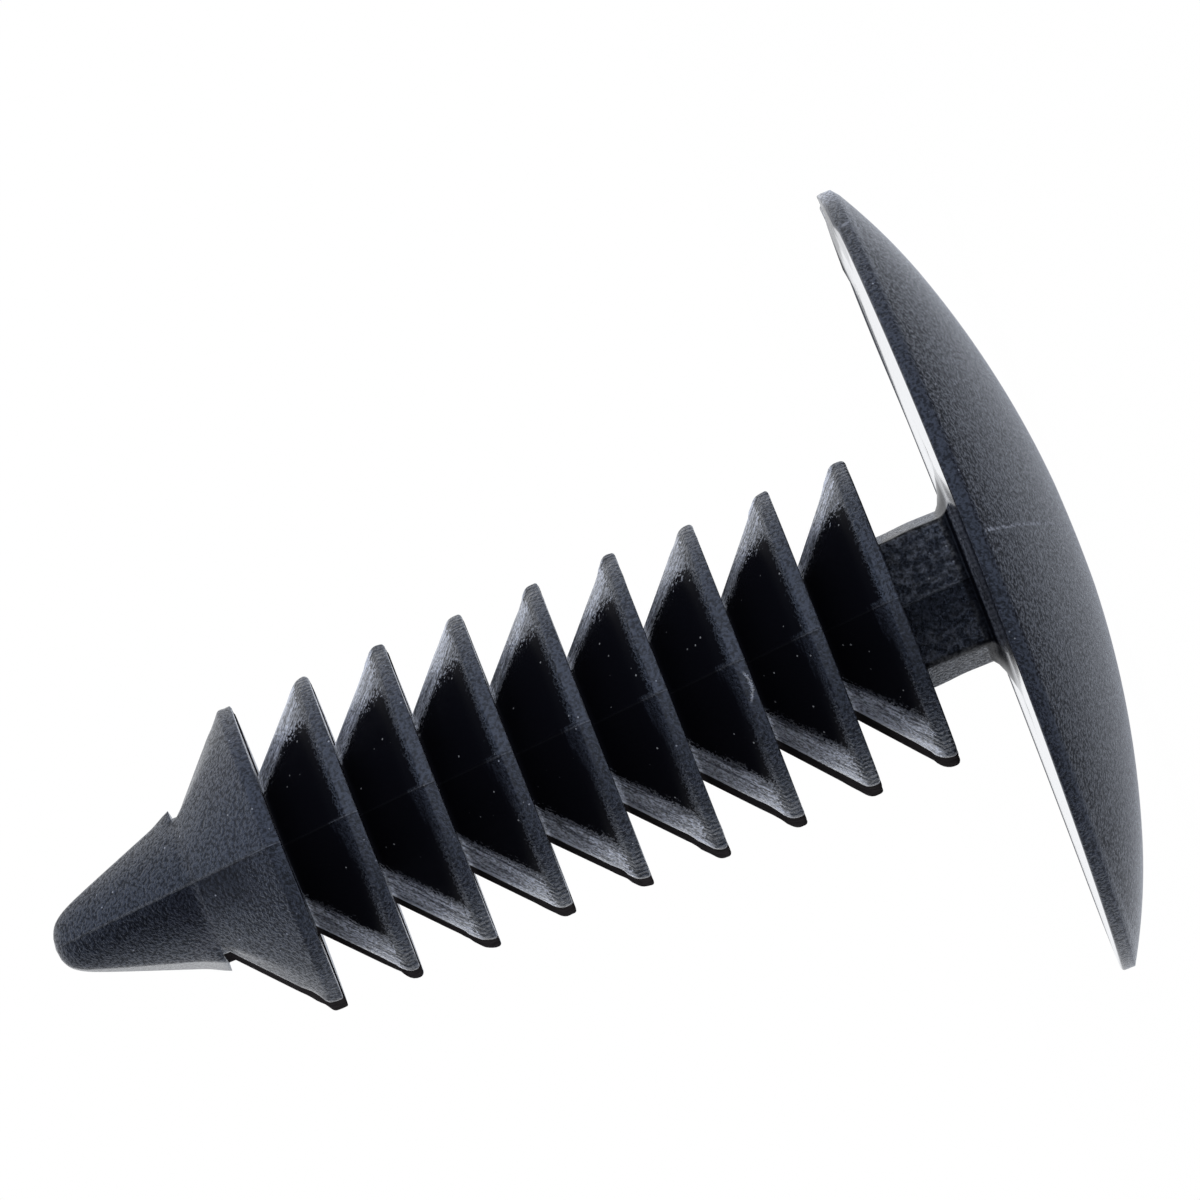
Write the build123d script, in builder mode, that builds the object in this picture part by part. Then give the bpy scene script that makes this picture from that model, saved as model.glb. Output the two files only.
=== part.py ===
"""Ratchet clip: a domed head, a short neck, a stem of nine saw-tooth fins and a blunt nose, in one moulding.

Millimetres. The origin is the centre of the head's flat underside. +Z runs along the stem to the nose, and
the dome lies below, at -Z. The flats of the fins face +X and -X. The mould parts on the plane X = 0, so the
ridges where its halves meet lie at +Y and -Y.
"""

import os
from math import asin, degrees, sqrt
from build123d import *

# Head: a solid shallow dome, level at its middle and steeper at its shoulder, on a short upright rim
head_diameter = 25.0
head_height = 3.20
crown_radius = 31.0
crown_diameter = 18.0
crown_flat_diameter = 3.2
rim_height = 0.42
rim_chamfer = 0.12

# Neck: near square, with each face slightly roofed
neck_length = 2.45
neck_width = 4.80
neck_depth = 4.62
neck_corner_width = 3.98
neck_corner_depth = 3.84
neck_root_radius = 0.45

# Fins: each rises from the core to its rim, runs level for a short land and drops square at its back
fin_count = 9
fin_pitch = 2.474
fin_land = 0.38
fin_width = 9.38
fin_depth = 11.15
fin_bow = 0.87
core_width = 4.74
core_depth = 7.80
core_bow = 0.34
flat_length = 3.40

# First fin, the one behind the nose: its land is longer, and it rises from a narrow notch
first_fin_land = 0.42
first_fin_rise = 2.24
notch_width = 4.36
notch_length = 0.22

# Nose: lens-shaped, tapering to a blunt round tip
nose_length = 4.67
nose_width = 4.72
nose_end_width = 1.55
nose_end_depth = 1.90
nose_end_flat = 0.60
nose_end_bow = 0.12
nose_tip_radius = 1.06

# Places along the stem, worked out from the sizes above: the first fin is the one furthest from the head
fin_backs = [neck_length + i * fin_pitch for i in range(fin_count)]
notch_start = fin_backs[-1] + first_fin_land + first_fin_rise
nose_start = notch_start + notch_length
nose_end = nose_start + nose_length

# The crown's arc, from the edge of its flat middle to the shoulder
crown_centre = sqrt(crown_radius**2 - (crown_flat_diameter / 2) ** 2) - head_height
crown_start = degrees(asin(crown_flat_diameter / 2 / crown_radius))
crown_end = degrees(asin(crown_diameter / 2 / crown_radius))


def stem_section(height, width, depth, flat, bow):
    """Draw one cross-section: a flat at +X and -X, and bowed sides that meet in a ridge at +Y and -Y."""
    with BuildSketch(Plane.XY.offset(height)) as section:
        with BuildLine():
            SagittaArc((0, depth / 2), (width / 2, flat / 2), bow)
            mirror(about=Plane.XZ)
            Line((width / 2, -flat / 2), (width / 2, flat / 2))
            mirror(about=Plane.YZ)
        make_face()
    return section.sketch


def fin_section(height):
    """Draw the section that every fin has at its rim."""
    return stem_section(height, fin_width, fin_depth, flat_length, fin_bow)


def core_section(height, width):
    """Draw the section that lies between the fins, at the notch and at the nose's root."""
    return stem_section(height, width, core_depth, flat_length, core_bow)


with BuildPart() as ratchet_clip:
    # Nose, drawn to a narrow end and then rounded by a ball-ended cone
    nose_end_section = stem_section(
        nose_end, nose_end_width, nose_end_depth, nose_end_flat, nose_end_bow
    )
    loft([core_section(nose_start, nose_width), nose_end_section], ruled=True)
    with BuildSketch(Plane.XZ):
        with BuildLine():
            ball = CenterArc((0, nose_end - nose_tip_radius), nose_tip_radius, 45, 45)
            flare = Line(ball @ 0, (ball @ 0) + (nose_length, -nose_length))
            Polyline(flare @ 1, (0, (flare @ 1).Y), ball @ 1)
        make_face()
    revolve(axis=Axis.Z, mode=Mode.INTERSECT)

    # Notch between the nose and the first fin
    extrude(core_section(notch_start, notch_width), amount=notch_length)

    # First fin, rising from the notch
    loft([core_section(notch_start, notch_width), fin_section(notch_start - first_fin_rise)], ruled=True)
    extrude(fin_section(fin_backs[-1]), amount=first_fin_land)

    # The other fins, each rising from the back of the next one
    for back in fin_backs[:-1]:
        loft([core_section(back + fin_pitch, core_width), fin_section(back + fin_land)], ruled=True)
        extrude(fin_section(back), amount=fin_land)

    # Head: a flat seat, an upright rim, and a dome of a wide crown and a rounder shoulder
    with BuildSketch(Plane.XZ):
        with BuildLine():
            crown = CenterArc((0, crown_centre), crown_radius, crown_start - 90, crown_end - crown_start)
            shoulder = TangentArc(crown @ 1, (head_diameter / 2, -rim_height), tangent=crown % 1)
            Polyline(shoulder @ 1, (head_diameter / 2, 0), (0, 0), (0, -head_height), crown @ 0)
        make_face()
    revolve(axis=Axis.Z)

    # Neck, eight-sided because each of its faces is roofed
    with BuildSketch(Plane.XY):
        with BuildLine():
            corner = (neck_corner_width / 2, neck_corner_depth / 2)
            Polyline((neck_width / 2, 0), corner, (0, neck_depth / 2))
            mirror(about=Plane.XZ)
            mirror(about=Plane.YZ)
        make_face()
    extrude(amount=neck_length)

    # Edges round the seat: a broken one at the rim and a rounded one at the neck's root
    seat = ratchet_clip.faces().filter_by(Plane.XY).sort_by(Axis.Z)[1]
    chamfer(seat.outer_wire().edges(), rim_chamfer)
    seat = ratchet_clip.faces().filter_by(Plane.XY).sort_by(Axis.Z)[1]
    fillet(seat.inner_wires()[0].edges(), neck_root_radius)

ratchet_clip.part.label = "ratchet_clip"
os.makedirs("parts", exist_ok=True)
export_step(ratchet_clip.part, "parts/ratchet_clip.step")
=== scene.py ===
"""Ratchet clip in black moulded nylon, standing on its domed head on a white table.

Metres, in the frame of the CAD model: the origin is the centre of the head's flat underside, +Z runs along
the stem to the nose, the flats of the fins face +X and -X, and the mould's halves meet at +Y and -Y. The
clip's skin is worked out in millimetres, ring by ring from the nose to the middle of the dome, and is
brought to metres when its mesh is made.
"""

import math

import bpy
import numpy as np
from mathutils import Matrix, Vector, noise


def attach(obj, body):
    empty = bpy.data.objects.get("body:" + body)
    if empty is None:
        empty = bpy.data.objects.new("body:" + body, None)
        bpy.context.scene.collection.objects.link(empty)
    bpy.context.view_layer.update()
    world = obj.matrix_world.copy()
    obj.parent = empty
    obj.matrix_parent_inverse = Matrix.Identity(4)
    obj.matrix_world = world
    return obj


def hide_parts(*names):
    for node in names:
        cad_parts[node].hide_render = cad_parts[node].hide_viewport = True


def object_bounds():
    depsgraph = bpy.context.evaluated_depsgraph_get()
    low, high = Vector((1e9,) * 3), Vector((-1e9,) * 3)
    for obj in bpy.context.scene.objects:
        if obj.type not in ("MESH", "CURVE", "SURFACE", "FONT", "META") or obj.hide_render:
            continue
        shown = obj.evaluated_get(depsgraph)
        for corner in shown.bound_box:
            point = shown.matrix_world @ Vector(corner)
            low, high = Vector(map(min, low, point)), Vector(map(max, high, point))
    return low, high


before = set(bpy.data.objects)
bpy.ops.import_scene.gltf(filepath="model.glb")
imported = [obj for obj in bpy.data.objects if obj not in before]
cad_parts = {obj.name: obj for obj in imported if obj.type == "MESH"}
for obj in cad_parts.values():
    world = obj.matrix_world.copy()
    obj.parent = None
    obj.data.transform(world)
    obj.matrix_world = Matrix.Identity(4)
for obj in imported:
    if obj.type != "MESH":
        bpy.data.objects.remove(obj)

MM = 0.001

# The CAD model's box, in millimetres
CAD_LOW, CAD_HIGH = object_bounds()
NOSE_END = CAD_HIGH.z / MM
DOME_BOTTOM = CAD_LOW.z / MM
HEAD_RADIUS = CAD_HIGH.x / MM

# Head: its rim curls a little towards the nose at +X and -X, has a low lip on the far side, stands higher
# beyond a step near +X, and is frayed at its end at +X
RIM_HEIGHT = 0.42
RIM_ROUND = 0.10
SEAT_MARGIN = 0.02
RIM_CURL = 0.25
FAR_LIP = 0.05
RIM_STEP = 0.07
RIM_STEP_AT = 10.65
FRAYED_HEIGHT = 0.14
CROWN_RADIUS = 31.0
CROWN_HALF = 9.0
CROWN_FLAT_HALF = 1.6

# Neck: near square, each face slightly roofed, with a rounded root that spreads further at +X and -X
NECK_LENGTH = 2.45
NECK_WIDTH = 4.86
NECK_DEPTH = 4.62
NECK_CORNER_WIDTH = 3.98
NECK_CORNER_DEPTH = 3.84
NECK_ROOT_RADIUS = 0.45
NECK_ROOT_SPREAD = 1.4

# Fins
FIN_COUNT = 9
FIN_PITCH = 2.474
FIN_WIDTH = 9.36
FIN_DEPTH = 11.15
FIN_BOW = 0.87
CORE_DEPTH = 7.80
CORE_BOW = 0.34
FLAT_LENGTH = 3.40
EDGE_REACH = 0.14
BACK_ROUND = 0.05
SHOULDER_ROUND = 0.14

# Each fin's sizes, from the neck to the nose: its land, the width of the core at its foot, the length of
# its flats, and how far its tips are rounded at the shoulder and at the back
FIN_LANDS = (0.46, 0.41, 0.37, 0.35, 0.35, 0.42, 0.39, 0.36, 0.42)
FOOT_WIDTHS = (4.56, 4.52, 4.60, 4.64, 4.73, 4.78, 4.80, 4.80, 4.36)
FIN_FLATS = (3.6, 3.6, 3.5, 3.4, 3.3, 3.3, 3.3, 3.3, 3.4)
TIP_SHOULDERS = (0.46, 0.40, 0.40, 0.42, 0.38, 0.38, 0.42, 0.46, 0.20)
TIP_BACKS = (0.14, 0.10, 0.12, 0.10, 0.08, 0.09, 0.08, 0.14, 0.04)

# How far each fin's rim stands to +X of its core
FIN_SHIFTS = (0.04, 0.02, 0.02, 0.02, 0.06, 0.06, 0.01, 0.0, 0.0)

# How far the tips of the fins wander across the stem and along it
TIP_WANDER_ACROSS = 0.04
TIP_WANDER_ALONG = 0.03

# Lips of flash along the tips: fin from the neck, side, how far from its back the lip ends, height
LIPS = (
    (0, 1, 0.92, 0.07),
    (1, 1, 0.80, 0.05),
    (3, 1, 0.72, 0.07),
    (4, 1, 0.60, 0.05),
    (6, 1, 0.80, 0.07),
    (0, -1, 0.75, 0.05),
    (2, -1, 0.66, 0.06),
    (3, -1, 0.92, 0.06),
    (4, -1, 0.70, 0.05),
    (6, -1, 0.80, 0.05),
    (7, -1, 0.62, 0.05),
    (8, -1, 0.60, 0.05),
)

# Nose, with a small lip at its root, and the notch behind it
NOTCH_LENGTH = 0.22
FIRST_FIN_RISE = 2.24
NOSE_WIDTH = 4.72
NOSE_END_WIDTH = 1.55
NOSE_END_DEPTH = 1.90
NOSE_END_FLAT = 0.60
NOSE_END_BOW = 0.12
NOSE_TIP_RADIUS = 1.12
NOSE_LIP = 0.17

# How far the moulding leans: a plane across the stem drops towards the head by this much for each unit of X
LEAN = 0.0093

# The line where the mould's halves met: its height and how far to -X it lies on the stem, and where it
# crosses the dome
FLASH_HEIGHT = 0.03
FLASH_SHIFT = 0.05
DOME_LINE_AT = 0.10

# The stem's bend: how far to +X the nose lies, and three stretches over which the stem shifts on its way to
# the head. Each gives how far it shifts to -X, or to +X with a minus, and the stretch's lower and upper end
NOSE_AT = 0.027
BENDS = ((0.093, 11, 22), (0.033, 2, 8), (-0.07, 1.2, 2.4))

# Columns of the skin's grid: along each bowed side, round its edge to the flat, and along half of the flat.
# One more lies this share of the side from the ridge, as the foot of its flash line
BOW_STEPS = 42
EDGE_STEPS = 5
FLAT_STEPS = 12
FLASH_FOOT = 0.007

# Rows of the skin's grid
NOSE_ROWS = 34
NECK_ROWS = 12
ROOT_ROWS = 7
SEAT_ROWS = 12
RIM_ROUND_ROWS = 5
RIM_ROWS = 4
SHOULDER_ROWS = 14
CROWN_ROWS = 20
SLOPE_STEPS = 17
ROUND_STEPS = 4

# The photo's view: pixels of its 1200 by 1200 frame
PHOTO_SIDE = 1200
PIXEL = 0.02998 * MM
VIEW_DISTANCE = 22500 * PIXEL
VIEW_TURN = math.radians(-5.8)
VIEW_ROLL = math.radians(21.88)
MIDDLE_FROM_SEAT = 358.3 * PIXEL
MIDDLE_FROM_AXIS = 122 * PIXEL

# The bands of painted light that edge the slopes of the fins at +X and at -X, and the pitch of the fine lines
# in them
BAND_ABOVE = 0.64
BAND_BELOW = 0.84
EDGE_LINE_PITCH = 0.12

# The first fin's back, and the fin whose sizes the looks of all the slopes follow
FIRST_BACK = NECK_LENGTH + (FIN_COUNT - 1) * FIN_PITCH
TYPICAL_FIN = 4

# A whisker of plastic on the rim of the third fin from the neck: its X and Z
WHISKER_AT = (-0.92, NECK_LENGTH + 2 * FIN_PITCH + 0.10)

# Nylon: features of its noises in a millimetre, the depth of its grain, limits to the painted light in its
# slopes' bands and to all its pale marks and painted light, and its bluish sheen
PEBBLES = 10.0
FINE_GRAIN = 22.0
DUST_SPECKS = 2.2
GRAIN_DEPTH = 0.045
MOST_BAND_LIGHT = 1.15
PALEST = 0.75
SHEEN_TINT = (0.68, 0.79, 1.0, 1)

# Between which values the noises mostly lie, and over which heights the head's finish gives way to the neck's
NOISE_RANGE = (0.3, 0.7)
HEAD_TOP = (0.22, 0.30)

# Table: its radius in metres, the corners of its edge, how many millimetres it lies below the dome, how white
# the camera sees it, and how bright it is in the clip's sheen
TABLE_RADIUS = 0.6
TABLE_CORNERS = 96
TABLE_DROP = 0.02
TABLE_GLOW = 0.995
TABLE_SHEEN = 0.70


def make_camera():
    """Look level at the stem from near -Y, rolled so that the head is at the upper right."""
    back = Vector((math.sin(VIEW_TURN), -math.cos(VIEW_TURN), 0))
    to_head = Vector((0, 0, -1))
    aside = back.cross(to_head)
    right = math.cos(VIEW_ROLL) * to_head - math.sin(VIEW_ROLL) * aside
    up = math.sin(VIEW_ROLL) * to_head + math.cos(VIEW_ROLL) * aside
    middle = MIDDLE_FROM_SEAT * Vector((0, 0, 1)) + MIDDLE_FROM_AXIS * aside
    camera = bpy.data.objects.new("camera", bpy.data.cameras.new("camera"))
    camera.data.sensor_width = 36
    camera.data.lens = camera.data.sensor_width * VIEW_DISTANCE / (PHOTO_SIDE * PIXEL)
    camera.data.clip_start = 0.01
    camera.data.clip_end = 10
    camera.matrix_world = Matrix.Translation(middle + VIEW_DISTANCE * back) @ Matrix(
        (right, up, back)
    ).transposed().to_4x4()
    bpy.context.scene.collection.objects.link(camera)
    bpy.context.scene.camera = camera


def smooth_step(value, low, high):
    """Rise smoothly from 0 at low to 1 at high."""
    share = np.clip((np.asarray(value) - low) / (high - low), 0, 1)
    return share * share * (3 - 2 * share)


# Cross-sections: rings of points in X and Y, all with the same columns

BOW_PLACES = np.array([0, FLASH_FOOT, *(np.arange(1, BOW_STEPS) / BOW_STEPS), 1])
EDGE_PLACES = np.arange(1, EDGE_STEPS) / EDGE_STEPS
FLAT_PLACES = np.arange(FLAT_STEPS + 1) / FLAT_STEPS
QUARTER = BOW_PLACES.size + EDGE_PLACES.size + FLAT_PLACES.size
FLAT_COLUMNS = np.arange(QUARTER) >= BOW_PLACES.size + EDGE_PLACES.size
NEAR_FLAT = np.concatenate([smooth_step(BOW_PLACES, 0.72, 1.0), np.ones(QUARTER - BOW_PLACES.size)])


def all_round(quarter):
    """Repeat a value for each column of a quarter in the other three."""
    right = np.concatenate([quarter[:-1], quarter[::-1]])
    return np.concatenate([right[:-1], right[::-1][:-1]])


def mirrored_ring(quarter):
    """Close a ring from its quarter, which runs from the ridge at -Y to the middle of the flat at +X."""
    right = np.vstack([quarter[:-1], quarter[::-1] * (1, -1)])
    left = right[::-1] * (-1, 1)
    return np.vstack([right[:-1], left[:-1]])


def edged_ring(side, corner, middle, reach):
    """Join a side to half a flat round their corner, and mirror them into a ring."""
    corner, middle = np.array(corner), np.array(middle)
    flat_start = corner + reach * (middle - corner) / np.linalg.norm(middle - corner)
    t = EDGE_PLACES[:, None]
    edge = (1 - t) ** 2 * side[-1] + 2 * t * (1 - t) * corner + t**2 * flat_start
    flat = flat_start + np.outer(FLAT_PLACES, middle - flat_start)
    return mirrored_ring(np.vstack([side, edge, flat]))


def lens_ring(width, depth, flat, bow):
    """Draw the stem's section: bowed sides that meet in ridges at -Y and +Y, and a flat at +X and -X."""
    ridge, corner = np.array((0, -depth / 2)), np.array((width / 2, -flat / 2))
    chord = np.linalg.norm(corner - ridge)
    along = (corner - ridge) / chord
    outward = np.array((along[1], -along[0]))
    radius = (chord**2 / 4 + bow**2) / (2 * bow)
    reach = min(EDGE_REACH, flat / 6)
    turns = math.asin(chord / 2 / radius) * (2 * BOW_PLACES * (1 - reach / chord) - 1)
    side = (
        (ridge + corner) / 2
        + np.outer(radius * np.sin(turns), along)
        + np.outer(radius * np.cos(turns) - radius + bow, outward)
    )
    return edged_ring(side, corner, (width / 2, 0), reach)


def fin_ring(flat):
    """Draw the section of a fin's land."""
    return lens_ring(FIN_WIDTH, FIN_DEPTH, flat, FIN_BOW)


def core_ring(width, flat):
    """Draw the section between two fins."""
    return lens_ring(width, CORE_DEPTH, flat, CORE_BOW)


def neck_ring():
    """Draw the neck's section, whose eight sides make each face a shallow roof."""
    corner = np.array((NECK_CORNER_WIDTH, -NECK_CORNER_DEPTH)) / 2
    ridge = np.array((0, -NECK_DEPTH / 2))
    side_end = corner + EDGE_REACH * (ridge - corner) / np.linalg.norm(ridge - corner)
    side = ridge + np.outer(BOW_PLACES, side_end - ridge)
    return edged_ring(side, corner, (NECK_WIDTH / 2, 0), EDGE_REACH)


def round_ring(radius):
    """Draw a circle whose columns follow the neck's."""
    turns = np.arctan2(*neck_ring().T[::-1])
    return radius * np.column_stack([np.cos(turns), np.sin(turns)])


# Profiles: how the rings follow one another

def rounded_path(corners):
    """Round each corner (place, height, radius, cuts in the stretch before it) of a path."""
    points = np.array([corner[:2] for corner in corners], dtype=float)
    path = [points[0]]
    for i in range(1, len(corners)):
        start, end = path[-1], points[i]
        radius, cuts = corners[i][2:]
        if radius and i + 1 < len(corners):
            before = (points[i - 1] - end) / np.linalg.norm(points[i - 1] - end)
            after = (points[i + 1] - end) / np.linalg.norm(points[i + 1] - end)
            half_turn = (math.pi - math.acos(np.clip(before @ after, -1, 1))) / 2
            reach = radius * math.tan(half_turn)
            first, last = end + before * reach, end + after * reach
            centre = end + (before + after) / np.linalg.norm(before + after) * radius / math.cos(half_turn)
            arc = [first + (last - first) * share for share in np.linspace(0, 1, ROUND_STEPS + 1)]
            arc = [centre + (p - centre) / np.linalg.norm(p - centre) * radius for p in arc]
        else:
            arc = [end]
        path += [start + (arc[0] - start) * cut for cut in cuts]
        path += arc
    return np.array(path)


# Where the straight stretches of a fin's path are cut
SLOPE_CUTS = [1 - (1 - step / SLOPE_STEPS) ** 1.5 for step in range(1, SLOPE_STEPS)]
LAND_CUTS = [0.5]
BACK_CUTS = [0.04, 0.2, 0.4, 0.6, 0.8]


def smooth_min(a, b, power):
    """The lesser of two positive sizes, rounded where they cross."""
    a, b = max(a, 1e-6), max(b, 1e-6)
    return (a**-power + b**-power) ** (-1 / power)


def nose_rings():
    """Draw the nose from its tip to its root, as (Z, ring) pairs."""
    length = NOSE_END - notch_start() - NOTCH_LENGTH
    ball_end = NOSE_TIP_RADIUS * (1 - math.sqrt(0.5))
    rings = []
    for step in np.linspace(0.06, 1, NOSE_ROWS):
        far = length * step**1.6
        share = far / length
        on_ball = min(far, ball_end)
        ball = math.sqrt(2 * NOSE_TIP_RADIUS * on_ball - on_ball**2) + far - on_ball
        sizes = [
            end + (root - end) * share
            for end, root in (
                (NOSE_END_WIDTH, NOSE_WIDTH),
                (NOSE_END_DEPTH, CORE_DEPTH),
                (NOSE_END_FLAT, FIN_FLATS[-1]),
                (NOSE_END_BOW, CORE_BOW),
            )
        ]
        half_width, half_depth = (smooth_min(size / 2, ball, power=8) for size in sizes[:2])
        shrink = 2 * half_width / sizes[0]
        ring = lens_ring(2 * half_width, 2 * half_depth, sizes[2] * shrink, sizes[3] * shrink)
        lip = NOSE_LIP / 2 * float(smooth_step(share, 0.84, 1.0))
        ring[:, 0] += np.sign(ring[:, 0]) * lip * all_round(NEAR_FLAT)
        rings.append((NOSE_END - far, ring))
    return rings


def notch_start():
    """Z of the first fin's foot."""
    return FIRST_BACK + FIN_LANDS[-1] + FIRST_FIN_RISE


def notch_ring():
    """Draw the notch's floor, which is cut only near the flats."""
    full = core_ring(NOSE_WIDTH, FIN_FLATS[-1])
    cut = core_ring(FOOT_WIDTHS[-1], FIN_FLATS[-1])
    return full + (cut - full) * all_round(NEAR_FLAT)[:, None]


def stem_rings():
    """Draw the notch, the fins and the neck's end, as (Z, ring) pairs from the nose to the neck."""
    rings = []
    height = (FIN_WIDTH - FOOT_WIDTHS[0]) / 2
    tip_share = all_round(NEAR_FLAT)
    for i in reversed(range(FIN_COUNT)):
        first = i == FIN_COUNT - 1
        back = NECK_LENGTH + i * FIN_PITCH
        front = notch_start() if first else back + FIN_PITCH
        rim = fin_ring(FIN_FLATS[i])
        foot = notch_ring() if first else core_ring(FOOT_WIDTHS[i], FIN_FLATS[i])
        inner = core_ring(FOOT_WIDTHS[i - 1], FIN_FLATS[i - 1]) if i else neck_ring()
        rim = rim + (FIN_SHIFTS[i], 0)
        middle_start = tip_start = (front, 0)
        if first:
            climb = height / (FIRST_FIN_RISE + NOTCH_LENGTH)
            middle_start = (front + NOTCH_LENGTH / 2, NOTCH_LENGTH / 2 * climb)
            share = (1 - tip_share) * NOTCH_LENGTH / 4 * climb / height
            notch_z = front + NOTCH_LENGTH * (0.75 + 0.23 * tip_share)
            rings.append((notch_z, foot + (rim - foot) * share[:, None]))
        middle_path, tip_path = (
            rounded_path(
                [
                    (*start, 0, ()),
                    (back + FIN_LANDS[i], height, shoulder_round, SLOPE_CUTS),
                    (back, height, back_round, LAND_CUTS),
                    (back, 0, 0, BACK_CUTS),
                ]
            )
            for start, shoulder_round, back_round in (
                (middle_start, SHOULDER_ROUND, BACK_ROUND),
                (tip_start, TIP_SHOULDERS[i], TIP_BACKS[i]),
            )
        )
        dropping = len(middle_path) - len(BACK_CUTS) - 1
        for row in range(0 if first else 1, len(middle_path)):
            z, rise = (
                middle_path[row][:, None] + (tip_path[row] - middle_path[row])[:, None] * tip_share
            )
            base = inner if row >= dropping else foot
            rings.append((z, base + (rim - base) * (rise / height)[:, None]))
    return rings


def neck_rings():
    """Draw the neck and the fillet at its root, as (Z, ring) pairs."""
    neck = neck_ring()
    outward = neck / np.linalg.norm(neck, axis=1)[:, None]
    spread = (NECK_ROOT_RADIUS + NECK_ROOT_SPREAD * abs(outward[:, :1]) ** 8) * outward
    rings = [(z, neck) for z in np.linspace(NECK_LENGTH, NECK_ROOT_RADIUS, NECK_ROWS)[1:]]
    for turn in np.linspace(0, math.pi / 2, ROOT_ROWS)[1:]:
        grown = neck + spread * (1 - math.cos(turn)) ** 0.75
        rings.append((NECK_ROOT_RADIUS * (1 - math.sin(turn)), grown))
    return rings


def dome_outline():
    """Give the dome's outline as (radius, Z) places: the shoulder from the rim inwards, then the crown."""
    crown_centre = math.sqrt(CROWN_RADIUS**2 - CROWN_FLAT_HALF**2) + DOME_BOTTOM
    crown_end = math.asin(CROWN_HALF / CROWN_RADIUS)
    meeting = np.array((CROWN_HALF, crown_centre - CROWN_RADIUS * math.cos(crown_end)))
    rim = np.array((HEAD_RADIUS, -RIM_HEIGHT))
    inward = np.array((-math.sin(crown_end), math.cos(crown_end)))
    reach = rim - meeting
    shoulder_radius = (reach @ reach) / (2 * inward @ reach)
    centre = meeting + inward * shoulder_radius
    rim_turn = math.atan2(rim[0] - centre[0], centre[1] - rim[1])
    shoulder = [
        (centre[0] + shoulder_radius * math.sin(turn), centre[1] - shoulder_radius * math.cos(turn))
        for turn in np.linspace(rim_turn, crown_end, SHOULDER_ROWS)
    ]
    crown = [
        (CROWN_RADIUS * math.sin(turn), crown_centre - CROWN_RADIUS * math.cos(turn))
        for turn in np.linspace(crown_end, math.asin(CROWN_FLAT_HALF / CROWN_RADIUS), CROWN_ROWS)[1:]
    ]
    return shoulder + crown


def head_rings(root):
    """Draw the seat from the neck's root outwards, the rim and the dome, as (Z, ring) pairs."""
    seat_edge = round_ring(HEAD_RADIUS - RIM_ROUND - SEAT_MARGIN)
    rings = [(0, root + (seat_edge - root) * share) for share in np.linspace(0, 1, SEAT_ROWS)[1:]]
    rim = round_ring(HEAD_RADIUS - RIM_ROUND)
    far = smooth_step(rim[:, 1], 3, 8) * (0.4 + 0.6 * smooth_step(rim[:, 0], 6, 9))
    rings.append((FAR_LIP * far, rim))
    for turn in np.linspace(0, math.pi / 2, RIM_ROUND_ROWS)[1:]:
        radius = HEAD_RADIUS - RIM_ROUND * (1 - math.sin(turn))
        rings.append((RIM_ROUND * (math.cos(turn) - 1), round_ring(radius)))
    rings += [(z, round_ring(HEAD_RADIUS)) for z in np.linspace(-RIM_ROUND, -RIM_HEIGHT, RIM_ROWS)[1:-1]]
    rings += [(z, round_ring(radius)) for radius, z in dome_outline()]
    rings += [(DOME_BOTTOM, round_ring(CROWN_FLAT_HALF * share)) for share in (0.66, 0.33)]
    return rings


def wander(grid, scale, shift=0):
    """Give each point of the grid a smooth random value between about -1 and 1."""
    places = grid.reshape(-1, 3) * scale + shift
    return np.array([noise.noise(place) for place in places.tolist()]).reshape(grid.shape[:2])


def add_flash(grid, stem_rows):
    """Raise the line where the mould's halves met, and the lips and burrs on the tips of the fins."""
    half = grid.shape[1] // 2
    uneven = 1 + 0.5 * wander(grid, (0, 0, 1.3))[:, 0]
    for column, side in ((0, -1), (half, 1)):
        grid[:stem_rows, column, 1] += side * FLASH_HEIGHT * uneven[:stem_rows]
    fins = grid[:stem_rows]
    fins[..., 0] -= FLASH_SHIFT * (1 - smooth_step(abs(fins[..., 0]), 0, 1.2))
    x, y, z = fins[..., 0].copy(), fins[..., 1], fins[..., 2].copy()
    at_flat = 1 - smooth_step(abs(y), FLAT_LENGTH / 2, FLAT_LENGTH / 2 + 0.4)
    on_tip = smooth_step(abs(x), 3.6, 4.3) * at_flat
    for fin, side, length, height in LIPS:
        from_back = z - NECK_LENGTH - fin * FIN_PITCH
        lip = (from_back > -0.05) * (1 - smooth_step(from_back, length - 0.06, length)) * (x * side > 2)
        fins[..., 0] += side * height * lip * at_flat * smooth_step(abs(x), 3.2, 3.6)
    fins[..., 0] += np.sign(x) * on_tip * TIP_WANDER_ACROSS * wander(fins, (0.3, 0.9, 3.4))
    fins[..., 2] += on_tip * TIP_WANDER_ALONG * wander(fins, (2.6, 1.2, 0.5), 7)


def bend(grid):
    """Bend the stem as the photo shows it: the nose lies to +X, the fins to -X and the neck between."""
    z = grid[..., 2].copy()
    grid[..., 0] += NOSE_AT
    for reach, low, high in BENDS:
        grid[..., 0] -= reach * (1 - smooth_step(z, low, high))


def curl_head(head):
    """Curl the rim towards the nose, fray its end at +X and raise it beyond its step."""
    x = head[..., 0]
    head[..., 2] += RIM_CURL * (x / HEAD_RADIUS) ** 2
    frayed = smooth_step(x, 11.9, 12.3) * smooth_step(head[..., 2], -0.5, 0.0)
    head[..., 2] += frayed * FRAYED_HEIGHT * wander(head, (3.5, 1.6, 3.0), 3)
    beyond_step = smooth_step(x, RIM_STEP_AT - 0.06, RIM_STEP_AT + 0.06)
    head[..., 2] += RIM_STEP * beyond_step * smooth_step(head[..., 2], -0.3, 0.0)


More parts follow.
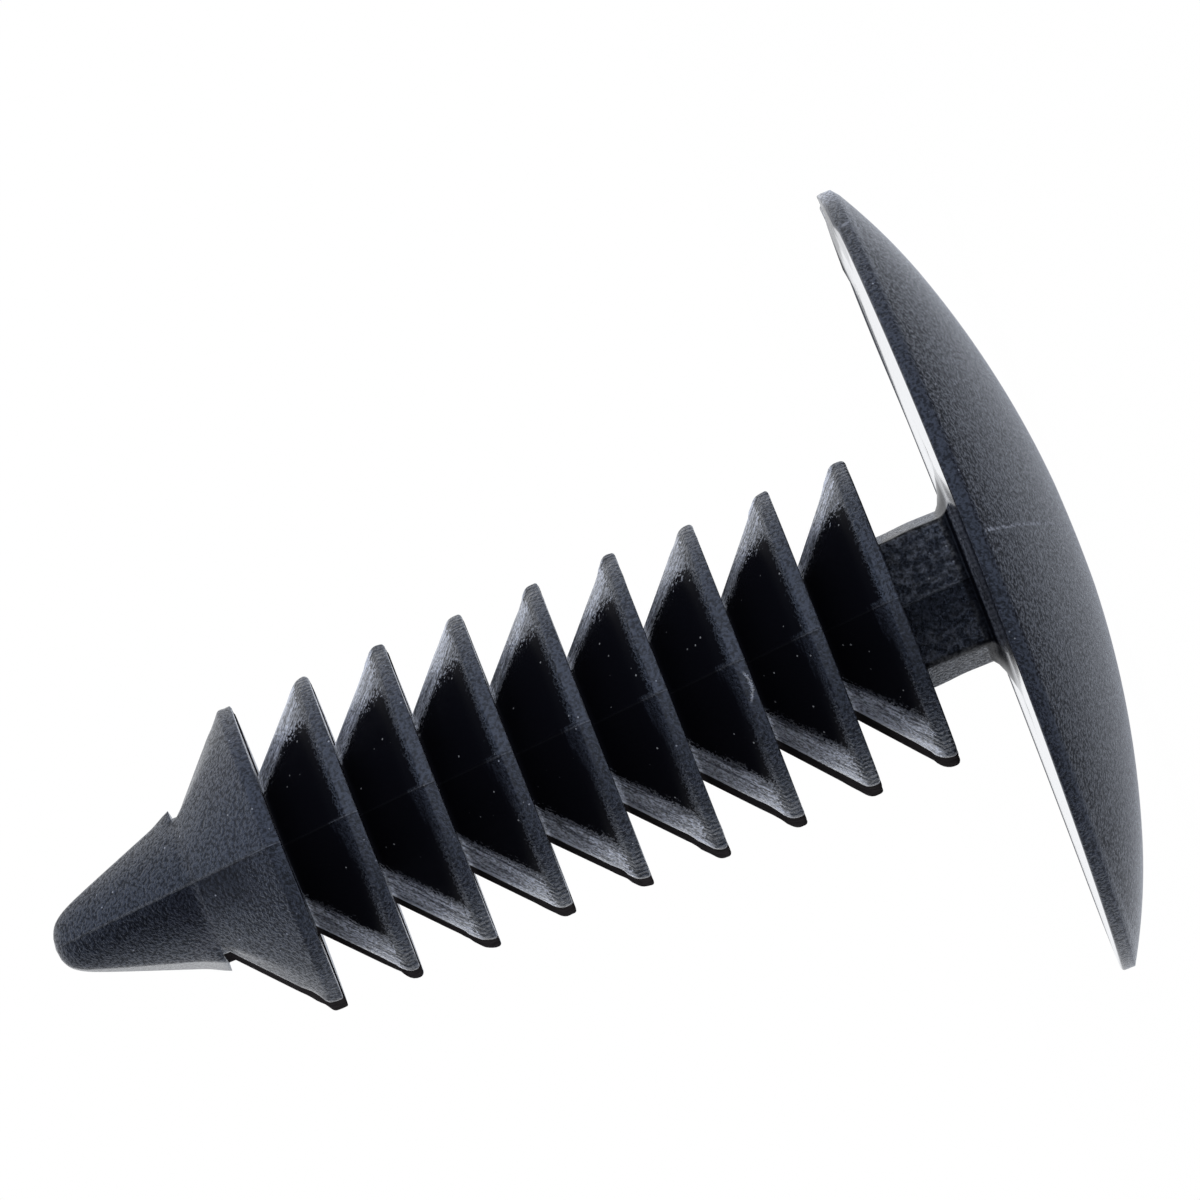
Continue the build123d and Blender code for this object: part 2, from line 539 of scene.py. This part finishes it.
def clip_grid():
    """Join the rings into a grid of points. Give it with the rows where the fins' faces start and end."""
    nose, fins = nose_rings(), stem_rings()
    stem = nose + fins + neck_rings()
    rings = stem + head_rings(stem[-1][1])
    grid = np.array([np.column_stack([ring, np.broadcast_to(z, len(ring))]) for z, ring in rings])
    curl_head(grid[len(stem) :])
    add_flash(grid, len(stem))
    bend(grid[: len(stem)])
    grid[..., 2] -= LEAN * grid[..., 0]
    grid[..., 2] = grid[..., 2].clip(DOME_BOTTOM, NOSE_END)
    return grid, len(nose), len(nose) + len(fins) - 1


def make_clip():
    """Make the closed skin that stands for the CAD solid. The fins' flats have a material of their own, dull
    and without sheen as painted shade.
    """
    grid, fins_start, fins_end = clip_grid()
    rows, columns = grid.shape[:2]
    points = np.vstack([grid.reshape(-1, 3), (0, 0, NOSE_END), (0, 0, DOME_BOTTOM)]) * MM
    tip, middle = rows * columns, rows * columns + 1
    flat_column = all_round(FLAT_COLUMNS)
    faces, finishes = [], []
    for i in range(rows - 1):
        for j in range(columns):
            k = (j + 1) % columns
            faces.append((i * columns + j, (i + 1) * columns + j, (i + 1) * columns + k, i * columns + k))
            finishes.append(int(flat_column[j] and flat_column[k] and fins_start <= i < fins_end))
    last = (rows - 1) * columns
    for j in range(columns):
        k = (j + 1) % columns
        faces.append((tip, j, k))
        faces.append((middle, last + k, last + j))
        finishes += [0, 0]
    mesh = bpy.data.meshes.new("moulded_clip")
    mesh.from_pydata(points.tolist(), [], faces)
    mesh.polygons.foreach_set("use_smooth", [True] * len(mesh.polygons))
    mesh.materials.append(black_nylon())
    mesh.materials.append(shaded_flats_nylon())
    mesh.polygons.foreach_set("material_index", finishes)
    clip = bpy.data.objects.new("moulded_clip", mesh)
    bpy.context.scene.collection.objects.link(clip)
    print("moulded_clip", rows, "rows", columns, "columns", 2 * rows * columns, "triangles")
    return clip


# Materials: shader maths as plain expressions

class Wire:
    """A socket of a node tree. Arithmetic on it adds Math nodes."""

    def __init__(self, tree, socket=None):
        self.tree = tree
        self.socket = socket

    def node(self, kind, settings=(), sockets=(), out=0):
        """Add a node: its settings first, then the values or links of its sockets."""
        node = self.tree.nodes.new(kind)
        for name, value in dict(settings).items():
            setattr(node, name, value)
        for name, value in dict(sockets).items():
            if isinstance(value, Wire):
                self.tree.links.new(value.socket, node.inputs[name])
            else:
                node.inputs[name].default_value = value
        return Wire(self.tree, node.outputs[out])

    def maths(self, operation, *others):
        """Add one Math node, with this socket first."""
        return self.node("ShaderNodeMath", {"operation": operation}, dict(enumerate((self, *others))))

    def after(self, operation, first):
        """Add one Math node, with this socket second."""
        return self.node("ShaderNodeMath", {"operation": operation}, {0: first, 1: self})

    def part(self, axis):
        """Take one part of a vector: 0, 1 or 2 for X, Y or Z."""
        return self.node("ShaderNodeSeparateXYZ", {}, {0: self}, out=axis)

    def rise(self, low, high, start=0.0, end=1.0):
        """Go smoothly from start, where the value is low, to end, where it is high."""
        return self.node(
            "ShaderNodeMapRange",
            {"interpolation_type": "SMOOTHSTEP"},
            {"Value": self, "From Min": low, "From Max": high, "To Min": start, "To Max": end},
        )

    def fall(self, low, high):
        """Go smoothly from 1, where the value is low, to 0, where it is high."""
        return self.rise(low, high, 1.0, 0.0)

    def __add__(self, other):
        return self.maths("ADD", other)

    def __radd__(self, other):
        return self.maths("ADD", other)

    def __sub__(self, other):
        return self.maths("SUBTRACT", other)

    def __rsub__(self, other):
        return self.after("SUBTRACT", other)

    def __mul__(self, other):
        return self.maths("MULTIPLY", other)

    def __rmul__(self, other):
        return self.maths("MULTIPLY", other)

    def __truediv__(self, other):
        return self.maths("DIVIDE", other)

    def __rtruediv__(self, other):
        return self.after("DIVIDE", other)

    def __abs__(self):
        return self.maths("ABSOLUTE")


def new_material(name):
    """Make an empty material and give a Wire to build it with, and its output node."""
    material = bpy.data.materials.new(name)
    material.use_nodes = True
    material.node_tree.nodes.clear()
    output = material.node_tree.nodes.new("ShaderNodeOutputMaterial")
    return material, Wire(material.node_tree), output


def vector_of(new, x, y, z):
    """Join three values into a vector."""
    return new.node("ShaderNodeCombineXYZ", {}, {0: x, 1: y, 2: z})


def colour_of(new, red, green, blue):
    """Join three values into a colour."""
    return new.node("ShaderNodeCombineColor", {}, {0: red, 1: green, 2: blue})


def place_in_mm(new):
    """Give the place on the object in millimetres."""
    place = new.node("ShaderNodeTexCoord", out="Object")
    return new.node("ShaderNodeVectorMath", {"operation": "SCALE"}, {0: place, "Scale": 1 / MM})


def noise_at(place, scale, detail=2.0):
    """Smooth random values from about 0.2 to 0.8, with this many features in a millimetre."""
    sockets = {"Vector": place, "Scale": scale, "Detail": detail, "Roughness": 0.55}
    return place.node("ShaderNodeTexNoise", {}, sockets)


class Skin:
    """Where a point of the clip's skin lies, in millimetres, and the noises and zones that its looks share."""

    def __init__(self, new):
        self.new = new
        self.place = place_in_mm(new)
        self.x, self.y, self.z = self.place.part(0), self.place.part(1), self.place.part(2)
        self.pebbles = noise_at(self.place, PEBBLES)
        self.grit = self.pebbles - 0.5
        self.fine = noise_at(self.place, FINE_GRAIN, 1.0)
        self.shade = self.pebbles.rise(*NOISE_RANGE, 0.4, 1.7)

        # The height measured square to the leaning moulding, and that above the curled seat
        self.level = self.z + LEAN * self.x
        self.head_level = self.level - RIM_CURL * (self.x / HEAD_RADIUS) * (self.x / HEAD_RADIUS)

        # How far towards the nose of its fin's shoulder a point lies, and how far within its slope's edge
        land, foot_width = FIN_LANDS[TYPICAL_FIN], FOOT_WIDTHS[TYPICAL_FIN]
        slope = (FIN_WIDTH - foot_width) / 2 / (FIN_PITCH - land)
        self.from_shoulder = ((self.level - NECK_LENGTH) / FIN_PITCH).maths("FRACT") * FIN_PITCH - land
        self.inset = FIN_WIDTH / 2 - slope * self.from_shoulder.maths("MAXIMUM", 0.0) - abs(self.x)

        # The eight plain fins, the neck, the seat and the rim's upright band: 1 on each and 0 elsewhere
        self.on_fins = self.z.rise(NECK_LENGTH - 0.01, NECK_LENGTH)
        self.on_fins = self.on_fins * self.z.fall(FIRST_BACK - 0.01, FIRST_BACK)
        self.on_neck = self.level.rise(0.3, 0.5) * self.level.fall(NECK_LENGTH - 0.05, NECK_LENGTH)
        self.on_seat = self.head_level.rise(-0.03, -0.01) * self.level.fall(*HEAD_TOP)
        self.on_rim = self.head_level.rise(-0.46, -0.36) * (1 - self.on_seat) * self.level.fall(*HEAD_TOP)


def slope_shade_and_light(skin):
    """Give the painted shade inside the slopes, where the neighbouring fin's back hides the light, and the
    painted light in the streaked bands along their edges.
    """
    new, x, y, grit = skin.new, skin.x, skin.y, skin.grit
    from_shoulder, inset = skin.from_shoulder, skin.inset
    streaks = noise_at(vector_of(new, 9 * inset, 1.4 * y, 1.4 * skin.z), 1.0)
    glimmer_noise = noise_at(vector_of(new, 0.8 * x, 0.8 * y, 12 * skin.level), 1.0)
    slopes = (from_shoulder + 0.6 * grit).rise(0.18, 0.22) * skin.on_fins

    # The inside, where shade is painted, starts where the ragged band ends, and stops short of the tips at +X
    ragged = inset + 0.9 * grit + 0.7 * (streaks - 0.5)
    band = BAND_ABOVE + (BAND_BELOW - BAND_ABOVE) * x.fall(-0.1, 0.1)
    short_of_tip = (x + 0.35 * from_shoulder + 1.6 * grit).fall(3.25, 3.45)
    inside = (ragged - band).rise(-0.02, 0.02) * short_of_tip

    # A faint painted glimmer by the shoulders, to -X of the ridge, which thins the painted shade
    glimmer = (from_shoulder - 0.18 * x + 0.7 * (glimmer_noise - 0.5)).fall(0.40, 0.62)
    glimmer = glimmer * x.fall(-0.02, 0.04) * x.rise(-2.6, -0.8)

    # Painted light in the streaked bands along the slopes' edges
    band_light = (1 - inside) * slopes * from_shoulder.rise(0.0, 1.2, 0.6, 1.2) * inset.rise(0.1, 0.9, 1.5, 0.25)
    band_light = (band_light * streaks.rise(0.38, 0.60, 0.35, 1.8)).maths("MINIMUM", MOST_BAND_LIGHT)
    return inside * slopes * (1 - 0.5 * glimmer), band_light


def edge_lines(skin):
    """Fine lines along the edges of the slopes."""
    lines = ((skin.inset + 0.14 * noise_at(skin.place, 1.6)) * (2 * math.pi / EDGE_LINE_PITCH)).maths("SINE")
    return lines * skin.inset.fall(0.35, 0.9) * skin.on_fins


def neck_edges(skin):
    """Dark lines up the neck's corners."""
    neck_at = NOSE_AT - sum(reach for reach, low, high in BENDS)
    return abs(abs(skin.x - neck_at) - NECK_CORNER_WIDTH / 2).fall(0.05, 0.11) * skin.on_neck


def neck_root_shade(skin):
    """Painted shade on the upper part of the neck's rounded root, in its crease with the seat, which comes
    nearer the seat at +X and -X.
    """
    lifted = skin.head_level + 0.10 * abs(skin.x).rise(2.0, 2.4)
    return lifted.rise(0.14, 0.18) * skin.level.fall(0.46, 0.54)


def dome_pits_and_rim_shade(skin):
    """Dark pits all over the dome from its grain, made stronger near the rim as painted shade."""
    on_dome = skin.level.fall(-0.46, -0.40) * skin.level.rise(-1.5, -0.5, 0.14, 0.40)
    return on_dome * skin.pebbles.rise(*NOISE_RANGE, 1.9, 0.1)


def smooth_shaded_stripe(skin):
    """A smoother stripe along the first fin and the nose, to -X of their ridge, where shade is also painted.
    """
    beside_ridge = skin.x.rise(-1.8, -0.7) * skin.x.fall(-0.05, 0.0)
    past_land = skin.level.rise(FIRST_BACK + 0.6, FIRST_BACK + 1.8)
    return beside_ridge * past_land * skin.level.rise(FIRST_BACK + 3.0, FIRST_BACK + 5.0, 1.0, 0.6)


def flash_line(skin):
    """The line along the stem where the mould's halves met."""
    from_flash = skin.x - NOSE_AT + FLASH_SHIFT
    for reach, low, high in BENDS:
        from_flash = from_flash + skin.level.rise(low, high, reach, 0.0)
    return abs(from_flash).fall(0.012, 0.04) * skin.level.rise(0.4, 0.5)


def dome_line(skin):
    """The same line across the dome, where it wanders a little."""
    from_line = skin.x - DOME_LINE_AT + 0.12 * (noise_at(skin.place, 1.2) - 0.5)
    return abs(from_line).fall(0.02, 0.08) * skin.level.fall(-0.65, -0.5)


def step_line(skin):
    """A pale line down the rim's upright band below its step, on the near side."""
    from_step = skin.x - RIM_STEP_AT + 0.25 * (skin.level - 0.2)
    return abs(from_step).fall(0.02, 0.08) * skin.on_rim * skin.y.fall(-1.0, 0.0)


def dust(skin):
    """White specks, which lie in loose patches."""
    sockets = {"Vector": skin.place, "Scale": DUST_SPECKS}
    specks = skin.new.node("ShaderNodeTexVoronoi", {}, sockets, out="Distance")
    return specks.fall(0.045, 0.085) * noise_at(skin.place, 0.9, 0.0).rise(0.44, 0.52)


def whisker(skin):
    """A curved whisker of plastic on one fin's rim."""
    along = skin.x - WHISKER_AT[0]
    aside = skin.level - WHISKER_AT[1] + 0.1 * along - 0.7 * along * along + 0.2 * (skin.fine - 0.5)
    return abs(aside).fall(0.0, 0.06) * abs(along).fall(0.35, 0.5)


def marks_and_painted_light(skin, band_light):
    """Dust, painted light in the slopes' bands, painted highlights on the slopes' edges, the frayed end of the
    rim and the whisker.
    """
    # Painted highlights along the slopes' edges
    edge_highlight = skin.inset.fall(0.03, 0.07) * skin.from_shoulder.rise(0.0, 0.1) * skin.on_fins
    frayed = skin.x.rise(11.5, 12.2) * skin.level.rise(-0.4, 0.0) * skin.pebbles.rise(0.45, 0.55)
    return (
        0.30 * dust(skin)
        + 0.34 * band_light * skin.shade
        + 0.3 * edge_highlight
        + 0.5 * frayed
        + 0.35 * whisker(skin)
    )


def seat_reflection(skin):
    """A mottled painted reflection on the seat near the neck."""
    by_neck = abs(skin.x).fall(2.2, 2.8) * abs(skin.y).fall(2.6, 3.6)
    return 0.12 * skin.shade * skin.on_seat * by_neck * skin.level.fall(0.10, 0.16)


def neck_light(skin):
    """Painted light on the neck in patches, fainter just to -X of its middle."""
    across = skin.x.rise(-1.8, -0.2, 1.4, 0.1) + 1.7 * skin.x.rise(-0.1, -0.05)
    patches = across * noise_at(skin.place, 3.5).rise(0.4, 0.62, 0.2, 2.8)
    return 0.02 * skin.shade * skin.on_neck * patches


def land_light(skin):
    """Painted light on the fins' lands, fainter towards -X and +X."""
    return (
        0.022
        * skin.on_fins
        * skin.from_shoulder.fall(0.0, 0.05)
        * skin.x.rise(-3.2, -0.8, 0.1, 1.35)
        * skin.x.rise(1.0, 2.6, 1.0, 0.6)
    )


def first_fin_light(skin):
    """Faint painted light on the first fin, which no fin in front of it shades."""
    in_front_of_back = skin.level.rise(FIRST_BACK - 0.05, FIRST_BACK)
    return 0.012 * in_front_of_back * skin.level.fall(FIRST_BACK + 2.6, FIRST_BACK + 2.9)


def grain(skin, flash, smooth_shaded):
    """Bend the surface by its grain: none on the seat, deeper on the neck, shallower on the smooth stripe."""
    rough = skin.pebbles + 0.3 * skin.fine + 0.25 * edge_lines(skin) + 0.8 * flash
    rough = rough * (1 - skin.on_seat) * (1 + skin.on_neck) * (1 - 0.5 * smooth_shaded)
    sockets = {"Strength": 1.0, "Distance": GRAIN_DEPTH * MM, "Height": rough}
    return skin.new.node("ShaderNodeBump", {}, sockets, out="Normal")


def hazy_finish(skin, pale, flash, smooth_shaded):
    """The outer finish: dark grey with a bluish haze, and glossier on the seat where it is seen edge on."""
    shade = skin.shade
    pale = pale + 0.07 * flash + 0.6 * dome_line(skin) * skin.pebbles + 0.15 * step_line(skin)
    grazing = skin.new.node("ShaderNodeLayerWeight", {}, {"Blend": 0.5}, out="Facing").rise(0.80, 0.97)
    roughness = skin.level.rise(-0.8, 0.2, 0.10, 0.15) + 0.10 * skin.fine
    return skin.new.node(
        "ShaderNodeBsdfPrincipled",
        {},
        {
            "Base Color": colour_of(
                skin.new, 0.0075 * shade + pale, 0.0085 * shade + 1.04 * pale, 0.014 * shade + 1.18 * pale
            ),
            "Roughness": roughness * (1 + skin.on_seat * (0.2 - 0.95 * grazing)),
            "Specular IOR Level": 0.72,
            "Specular Tint": SHEEN_TINT,
            "Normal": grain(skin, flash, smooth_shaded),
        },
    )


def black_finish(skin, pale, flash):
    """The black finish: smooth and almost without sheen, so that it looks black. It mostly paints shade, and
    also darkens the pits of the grain and the neck's corners.
    """
    pale = pale + 0.004 * flash
    return skin.new.node(
        "ShaderNodeBsdfPrincipled",
        {},
        {
            "Base Color": colour_of(skin.new, 0.004 + pale, 0.004 + pale, 0.006 + pale),
            "Roughness": 0.2,
            "Specular IOR Level": 0.015,
            "Specular Tint": SHEEN_TINT,
        },
    )


def black_nylon():
    """Black moulded nylon: a grained skin with a bluish haze, darker within the fins' slopes where shade is
    painted.
    """
    material, new, output = new_material("black_nylon")
    skin = Skin(new)
    slope_shade, band_light = slope_shade_and_light(skin)
    flash, smooth_shaded = flash_line(skin), smooth_shaded_stripe(skin)

    # How far the black finish takes the place of the hazy one, also in the pits of the grain and up the neck's
    # corners.
    # Mostly it paints shade: inside the slopes, on the rim band, near the dome's rim, in the neck's root and
    # beside the nose's ridge
    shade_and_pits = (
        slope_shade
        # Painted shade on the rim band
        + 0.04 * skin.on_rim
        + dome_pits_and_rim_shade(skin)
        + 0.9 * neck_edges(skin)
        + 0.8 * neck_root_shade(skin)
        + 0.25 * smooth_shaded
    )
    shade_and_pits = shade_and_pits.maths("MINIMUM", 1.0)
    pits = skin.pebbles.rise(0.36, 0.58, 0.62, 0.0) * (1 - skin.on_seat)
    shade_and_pits = shade_and_pits + pits * (1 - shade_and_pits)

    # How much paler than black the nylon is: dust, the frayed rim and the whisker, and painted light in the
    # slopes' bands, on their edges as highlights, on the seat as a reflection, and on the neck, the lands, the
    # rim band and the first fin
    pale = (
        marks_and_painted_light(skin, band_light)
        + seat_reflection(skin)
        + neck_light(skin)
        + land_light(skin)
        # Painted light on the rim band
        + 0.007 * skin.on_rim
        + first_fin_light(skin)
    )
    pale = pale.maths("MINIMUM", PALEST)

    hazy, black = hazy_finish(skin, pale, flash, smooth_shaded), black_finish(skin, pale, flash)
    surface = new.node("ShaderNodeMixShader", {}, {0: shade_and_pits, 1: hazy, 2: black})
    material.node_tree.links.new(surface.socket, output.inputs["Surface"])
    return material


def shaded_flats_nylon():
    """The same nylon on the fins' flats, made dull and without sheen so that they look dark: painted shade."""
    material, new, output = new_material("shaded_flats_nylon")
    tone = noise_at(place_in_mm(new), 3.0).rise(*NOISE_RANGE, 0.7, 1.3)
    colour = colour_of(new, 0.026 * tone, 0.023 * tone, 0.024 * tone)
    sockets = {"Base Color": colour, "Roughness": 0.5, "Specular IOR Level": 0.0}
    surface = new.node("ShaderNodeBsdfPrincipled", {}, sockets)
    material.node_tree.links.new(surface.socket, output.inputs["Surface"])
    return material


def white_table():
    """A table that the camera sees as white. In the clip's sheen it is bluish, and painted dimmer towards -X
    as shade.
    """
    material, new, output = new_material("white_table")
    seen = new.node("ShaderNodeLightPath", out="Is Camera Ray")
    mirrored = new.node("ShaderNodeLightPath", out="Is Glossy Ray")
    paint = new.node("ShaderNodeBsdfDiffuse", {}, {"Color": (0.9, 0.9, 0.9, 1)})
    tint = colour_of(new, 1 - 0.10 * mirrored, 1 - 0.05 * mirrored, 1 + 0.06 * mirrored)
    white = new.node("ShaderNodeEmission", {}, {"Color": tint, "Strength": 1.0})
    across = place_in_mm(new).part(0)
    # In the clip's sheen the table is painted dimmer towards -X: painted shade in what the clip reflects
    share = seen * TABLE_GLOW + mirrored * TABLE_SHEEN * across.rise(-25.0, 5.0, 0.55, 1.0)
    mixed = new.node("ShaderNodeMixShader", {}, {0: share, 1: paint, 2: white})
    material.node_tree.links.new(mixed.socket, output.inputs["Surface"])
    return material


def make_table():
    """Set a round white table under the dome."""
    turns = np.arange(TABLE_CORNERS) * 2 * math.pi / TABLE_CORNERS
    top = (DOME_BOTTOM - TABLE_DROP) * MM
    points = [(TABLE_RADIUS * math.cos(t), TABLE_RADIUS * math.sin(t), top) for t in turns]
    mesh = bpy.data.meshes.new("table")
    mesh.from_pydata(points, [], [tuple(range(len(points)))])
    table = bpy.data.objects.new("table", mesh)
    mesh.materials.append(white_table())
    bpy.context.scene.collection.objects.link(table)


def light_studio():
    """Light the clip from a pale room: darker at -X on the camera's side, lighter behind it and overhead."""
    world = bpy.data.worlds.new("room")
    bpy.context.scene.world = world
    world.use_nodes = True
    world.node_tree.nodes.clear()
    new = Wire(world.node_tree)
    output = world.node_tree.nodes.new("ShaderNodeOutputWorld")
    way = new.node("ShaderNodeTexCoord", out="Generated")
    across, away = way.part(0), way.part(1)
    lit = across.rise(-0.35, 0.75)
    behind = away.rise(-0.2, 0.3)
    camera_side = (-1 * away).rise(0.6, 1.0)
    above = way.part(2).rise(0.72, 0.92)
    strength = 1.02 - 0.92 * (1 - lit) * (1 - behind) + 0.50 * camera_side + 0.25 * above
    seen = new.node("ShaderNodeLightPath", out="Is Camera Ray")
    strength = seen + (1 - seen) * strength
    blue = (1 - seen) * (1 - 0.8 * behind)
    tint = colour_of(new, 1 - 0.12 * blue, 1 - 0.06 * blue, 1 + 0.06 * blue)
    glow = new.node("ShaderNodeBackground", {}, {"Color": tint, "Strength": strength})
    world.node_tree.links.new(glow.socket, output.inputs["Surface"])


make_camera()
light_studio()
make_table()
clip = make_clip()
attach(clip, "root")
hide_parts("ratchet_clip")
bpy.context.scene.view_settings.view_transform = "Standard"
